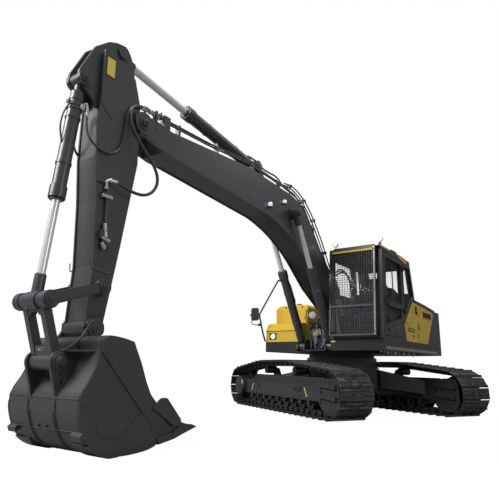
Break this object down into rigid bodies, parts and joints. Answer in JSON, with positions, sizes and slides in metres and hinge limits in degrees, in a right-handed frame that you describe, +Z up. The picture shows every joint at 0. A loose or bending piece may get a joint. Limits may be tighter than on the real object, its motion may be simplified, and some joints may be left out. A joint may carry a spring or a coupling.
{
  "type": "crawler excavator",
  "caption": "Crawler excavator with steel tracks, guarded cab, one-piece boom, arm and a plain-edged bucket",
  "frame": {"origin": "on the ground, on the axis the upper structure swings about", "axes": "+X forward along the boom, +Y to the operator's left, +Z up; the crawlers stand turned 58.35 degrees to the left"},
  "size_m": [9.511, 5.3461, 4.412],
  "materials": {
    "painted_dark": "semi-gloss",
    "painted_black": "semi-gloss",
    "painted_yellow": "satin",
    "hood_grey": "satin",
    "track_steel": "matte",
    "undercarriage_black": "satin",
    "rod_chrome": "polished",
    "window_glass": "clear",
    "seat_fabric": "woven",
    "cab_plastic": "matte",
    "lamp_glass": "clear",
    "engine_iron": "matte"
  },
  "bodies": {
    "undercarriage": {"track_right": "track_steel", "track_left": "track_steel", "side_frame_right": "undercarriage_black", "side_frame_left": "undercarriage_black", "lower_rollers": "track_steel", "idlers": "track_steel", "carrier_rollers": "track_steel", "sprockets": "track_steel", "final_drives": "undercarriage_black", "carbody": "undercarriage_black", "swing_ring": "undercarriage_black"},
    "upper": {"deck_frame": "painted_black", "side_decks": "painted_black", "boom_bracket": "painted_black", "frame_pins": "painted_black", "counterweight": "painted_black", "cab_shell": "painted_black", "cab_roof": "painted_yellow", "roof_hatch": "painted_black", "cab_windows": "window_glass", "seat": "seat_fabric", "cab_console": "cab_plastic", "front_guard": "painted_black", "cab_lamps": "lamp_glass", "toolbox": "painted_yellow", "head_lamp": "lamp_glass", "fuel_tank": "painted_yellow", "house_frame": "painted_black", "left_rear_panel": "painted_yellow", "engine": "engine_iron", "valve_block": "engine_iron", "handrail": "painted_black", "mirror": "painted_black"},
    "cab_door": {"cab_door": "painted_black", "door_windows": "window_glass"},
    "left_side_door": {"left_side_door": "painted_yellow"},
    "right_side_door": {"right_side_door": "painted_yellow"},
    "engine_hood": {"engine_hood": "hood_grey"},
    "toolbox_lid": {"toolbox_lid": "painted_yellow"},
    "boom": {"boom": "painted_dark", "boom_pins": "painted_dark", "boom_pipes": "painted_dark", "boom_lamps": "lamp_glass"},
    "boom_barrels": {"boom_cylinder_barrels": "painted_dark"},
    "boom_rods": {"boom_cylinder_rods": "rod_chrome"},
    "arm": {"arm": "painted_dark", "arm_pins": "painted_dark", "arm_pipes": "painted_dark"},
    "arm_barrel": {"arm_cylinder_barrel": "painted_dark"},
    "arm_rod": {"arm_cylinder_rod": "rod_chrome"},
    "bucket_barrel": {"bucket_cylinder_barrel": "painted_dark"},
    "bucket_rod": {"bucket_cylinder_rod": "rod_chrome"},
    "rocker": {"rocker_links": "painted_dark"},
    "bucket_link": {"bucket_link": "painted_dark"},
    "bucket": {"bucket": "painted_dark", "bucket_link_pin": "painted_dark"}
  },
  "joints": [
    {"name": "swing", "type": "hinge", "parent": "undercarriage", "child": "upper", "pos_m": [0, 0, 1], "axis": [0, 0, 1], "continuous": true},
    {"name": "boom_lift", "type": "hinge", "parent": "upper", "child": "boom", "pos_m": [0.263, 0, 1.872], "axis": [0, -1, 0], "range_deg": [-41.8, 34.3]},
    {"name": "boom_barrels", "type": "hinge", "parent": "upper", "child": "boom_barrels", "pos_m": [1.04, 0, 1.17], "axis": [0, -1, 0], "range_deg": [-40.96, 33.88]},
    {"name": "boom_rods", "type": "slide", "parent": "boom_barrels", "child": "boom_rods", "axis": [0.5093, 0, 0.8606], "range_m": [-0.7401, 0.6109]},
    {"name": "arm_swing", "type": "hinge", "parent": "boom", "child": "arm", "pos_m": [5.73, 0, 3.505], "axis": [0, 1, 0], "range_deg": [-60, 60]},
    {"name": "arm_barrel", "type": "hinge", "parent": "boom", "child": "arm_barrel", "pos_m": [3.2, 0, 3.92], "axis": [0, 1, 0], "range_deg": [-9.6, 9.6]},
    {"name": "arm_rod", "type": "slide", "parent": "arm_barrel", "child": "arm_rod", "axis": [0.9905, 0, 0.1375], "range_m": [-0.7112, 0.7112]},
    {"name": "bucket_swing", "type": "hinge", "parent": "arm", "child": "bucket", "pos_m": [6.145, 0, 1.14], "axis": [0, -1, 0], "range_deg": [-65, 92]},
    {"name": "bucket_rocker", "type": "hinge", "parent": "arm", "child": "rocker", "pos_m": [6.11, 0, 1.55], "axis": [0, -1, 0], "range_deg": [-47, 65.9]},
    {"name": "bucket_link", "type": "hinge", "parent": "bucket", "child": "bucket_link", "pos_m": [6.49, 0, 0.82], "axis": [0, -1, 0], "range_deg": [-64.06, 45.7]},
    {"name": "bucket_barrel", "type": "hinge", "parent": "arm", "child": "bucket_barrel", "pos_m": [6.46, 0, 3.74], "axis": [0, -1, 0], "range_deg": [-5.08, 6.56]},
    {"name": "bucket_rod", "type": "slide", "parent": "bucket_barrel", "child": "bucket_rod", "axis": [0.0902, 0, -0.9959], "range_m": [-0.6061, 0.4341]},
    {"name": "cab_door", "type": "hinge", "parent": "upper", "child": "cab_door", "pos_m": [0.108, 1.366, 1.9], "axis": [0, 0, 1], "range_deg": [0, 165]},
    {"name": "left_side_door", "type": "hinge", "parent": "upper", "child": "left_side_door", "pos_m": [-0.7, 1.366, 1.7], "axis": [0, 0, -1], "range_deg": [-100, 0]},
    {"name": "right_side_door", "type": "hinge", "parent": "upper", "child": "right_side_door", "pos_m": [-0.743, -1.366, 1.7], "axis": [0, 0, 1], "range_deg": [0, 100]},
    {"name": "engine_hood", "type": "hinge", "parent": "upper", "child": "engine_hood", "pos_m": [-0.645, 0, 2.128], "axis": [0, 1, 0], "range_deg": [0, 70]},
    {"name": "toolbox_lid", "type": "hinge", "parent": "upper", "child": "toolbox_lid", "pos_m": [0.322, -0.97, 1.672], "axis": [0, -1, 0], "range_deg": [0, 80]}
  ],
  "couplings": [
    {"joint": "boom_barrels", "follows": "boom_lift", "ratio": 0.944},
    {"joint": "boom_rods", "follows": "boom_lift", "m_per_rad": 0.987},
    {"joint": "arm_barrel", "follows": "arm_swing", "ratio": 0.135},
    {"joint": "arm_rod", "follows": "arm_swing", "m_per_rad": 0.66},
    {"joint": "bucket_rocker", "follows": "bucket_swing", "ratio": 0.7},
    {"joint": "bucket_link", "follows": "bucket_swing", "ratio": -0.68},
    {"joint": "bucket_barrel", "follows": "bucket_swing", "ratio": 0.055},
    {"joint": "bucket_rod", "follows": "bucket_swing", "m_per_rad": -0.365}
  ]
}
